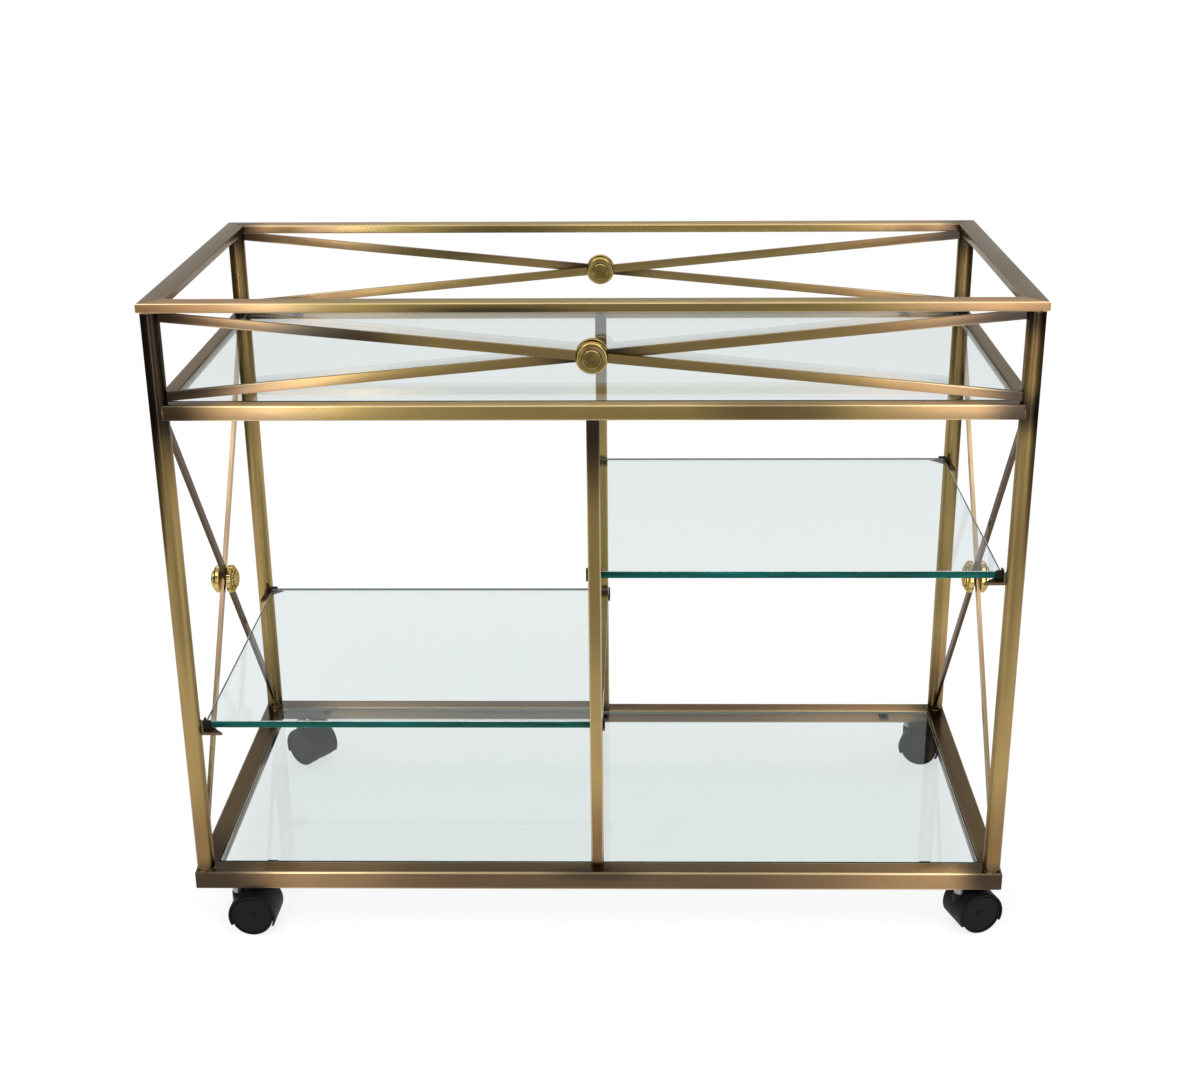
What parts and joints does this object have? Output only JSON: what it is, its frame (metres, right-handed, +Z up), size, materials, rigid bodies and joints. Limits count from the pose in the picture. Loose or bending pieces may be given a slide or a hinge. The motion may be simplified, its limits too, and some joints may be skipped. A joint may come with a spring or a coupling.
{
  "type": "bar cart",
  "caption": "Bar cart with a brass tube frame, a railed glass tray, staggered glass half shelves, a glass base and hooded twin-wheel casters.",
  "frame": {"origin": "on the floor under the centre of the frame", "axes": "+X to the right along the cart, +Y to the back, +Z up"},
  "size_m": [0.8979, 0.4288, 0.716],
  "materials": {
    "antique_brass": "brushed and darkened, brown at the welds",
    "polished_brass": "turned and polished",
    "clear_glass": "clear float glass with a green edge",
    "black_rubber": "moulded",
    "caster_nylon": "moulded black nylon",
    "zinc_steel": "zinc plated"
  },
  "bodies": {
    "frame": {"back_brace_inner": "antique_brass", "back_brace_outer": "antique_brass", "back_rosettes": "polished_brass", "base_glass_bumpers": "black_rubber", "base_glass_clips": "antique_brass", "base_rail_back": "antique_brass", "base_rail_front": "antique_brass", "base_rail_left": "antique_brass", "base_rail_right": "antique_brass", "caster_sockets": "zinc_steel", "caster_stems": "zinc_steel", "centre_post_back": "antique_brass", "centre_post_front": "antique_brass", "front_brace_inner": "antique_brass", "front_brace_outer": "antique_brass", "front_rosettes": "polished_brass", "left_brace_inner": "antique_brass", "left_brace_outer": "antique_brass", "left_rosettes": "polished_brass", "post_back_left": "antique_brass", "post_back_right": "antique_brass", "post_front_left": "antique_brass", "post_front_right": "antique_brass", "right_brace_inner": "antique_brass", "right_brace_outer": "antique_brass", "right_rosettes": "polished_brass", "rosette_studs": "zinc_steel", "shelf_brackets": "antique_brass", "shelf_stops": "black_rubber", "top_rail_back": "antique_brass", "top_rail_front": "antique_brass", "top_rail_left": "antique_brass", "top_rail_right": "antique_brass", "tray_glass_bumpers": "black_rubber", "tray_glass_clips": "antique_brass", "tray_rail_back": "antique_brass", "tray_rail_front": "antique_brass", "tray_rail_left": "antique_brass", "tray_rail_right": "antique_brass"},
    "tray_pane": {"tray_glass": "clear_glass"},
    "base_pane": {"base_glass": "clear_glass"},
    "left_shelf": {"left_shelf_glass": "clear_glass"},
    "right_shelf": {"right_shelf_glass": "clear_glass"},
    "front_left_caster": {"front_left_caster_hood": "caster_nylon", "front_left_caster_axle": "zinc_steel"},
    "front_left_roller_a": {"front_left_wheel_a": "caster_nylon"},
    "front_left_roller_b": {"front_left_wheel_b": "caster_nylon"},
    "front_right_caster": {"front_right_caster_hood": "caster_nylon", "front_right_caster_axle": "zinc_steel"},
    "front_right_roller_a": {"front_right_wheel_a": "caster_nylon"},
    "front_right_roller_b": {"front_right_wheel_b": "caster_nylon"},
    "back_left_caster": {"back_left_caster_hood": "caster_nylon", "back_left_caster_axle": "zinc_steel"},
    "back_left_roller_a": {"back_left_wheel_a": "caster_nylon"},
    "back_left_roller_b": {"back_left_wheel_b": "caster_nylon"},
    "back_right_caster": {"back_right_caster_hood": "caster_nylon", "back_right_caster_axle": "zinc_steel"},
    "back_right_roller_a": {"back_right_wheel_a": "caster_nylon"},
    "back_right_roller_b": {"back_right_wheel_b": "caster_nylon"}
  },
  "joints": [
    {"name": "tray_pane_lift", "type": "slide", "parent": "frame", "child": "tray_pane", "axis": [0, 0, 1], "range_m": [0, 0.03]},
    {"name": "base_pane_lift", "type": "slide", "parent": "frame", "child": "base_pane", "axis": [0, 0, 1], "range_m": [0, 0.15]},
    {"name": "left_shelf_lift", "type": "slide", "parent": "frame", "child": "left_shelf", "axis": [0, 0, 1], "range_m": [0, 0.06]},
    {"name": "right_shelf_lift", "type": "slide", "parent": "frame", "child": "right_shelf", "axis": [0, 0, 1], "range_m": [0, 0.15]},
    {"name": "front_left_swivel", "type": "hinge", "parent": "frame", "child": "front_left_caster", "pos_m": [-0.401, -0.1921, 0.044], "axis": [0, 0, 1], "continuous": true},
    {"name": "front_left_roll_a", "type": "hinge", "parent": "front_left_caster", "child": "front_left_roller_a", "pos_m": [-0.38301, -0.19273, 0.023], "axis": [0.0349, 0.9994, 0], "continuous": true},
    {"name": "front_left_roll_b", "type": "hinge", "parent": "front_left_caster", "child": "front_left_roller_b", "pos_m": [-0.38301, -0.19273, 0.023], "axis": [0.0349, 0.9994, 0], "continuous": true},
    {"name": "front_right_swivel", "type": "hinge", "parent": "frame", "child": "front_right_caster", "pos_m": [0.401, -0.1921, 0.044], "axis": [0, 0, 1], "continuous": true},
    {"name": "front_right_roll_a", "type": "hinge", "parent": "front_right_caster", "child": "front_right_roller_a", "pos_m": [0.41802, -0.18624, 0.023], "axis": [-0.3256, 0.9455, 0], "continuous": true},
    {"name": "front_right_roll_b", "type": "hinge", "parent": "front_right_caster", "child": "front_right_roller_b", "pos_m": [0.41802, -0.18624, 0.023], "axis": [-0.3256, 0.9455, 0], "continuous": true},
    {"name": "back_left_swivel", "type": "hinge", "parent": "frame", "child": "back_left_caster", "pos_m": [-0.401, 0.1921, 0.044], "axis": [0, 0, 1], "continuous": true},
    {"name": "back_left_roll_a", "type": "hinge", "parent": "back_left_caster", "child": "back_left_roller_a", "pos_m": [-0.38662, 0.18127, 0.023], "axis": [0.6018, 0.7986, 0], "continuous": true},
    {"name": "back_left_roll_b", "type": "hinge", "parent": "back_left_caster", "child": "back_left_roller_b", "pos_m": [-0.38662, 0.18127, 0.023], "axis": [0.6018, 0.7986, 0], "continuous": true},
    {"name": "back_right_swivel", "type": "hinge", "parent": "frame", "child": "back_right_caster", "pos_m": [0.401, 0.1921, 0.044], "axis": [0, 0, 1], "continuous": true},
    {"name": "back_right_roll_a", "type": "hinge", "parent": "back_right_caster", "child": "back_right_roller_a", "pos_m": [0.41791, 0.18594, 0.023], "axis": [0.342, 0.9397, 0], "continuous": true},
    {"name": "back_right_roll_b", "type": "hinge", "parent": "back_right_caster", "child": "back_right_roller_b", "pos_m": [0.41791, 0.18594, 0.023], "axis": [0.342, 0.9397, 0], "continuous": true}
  ]
}
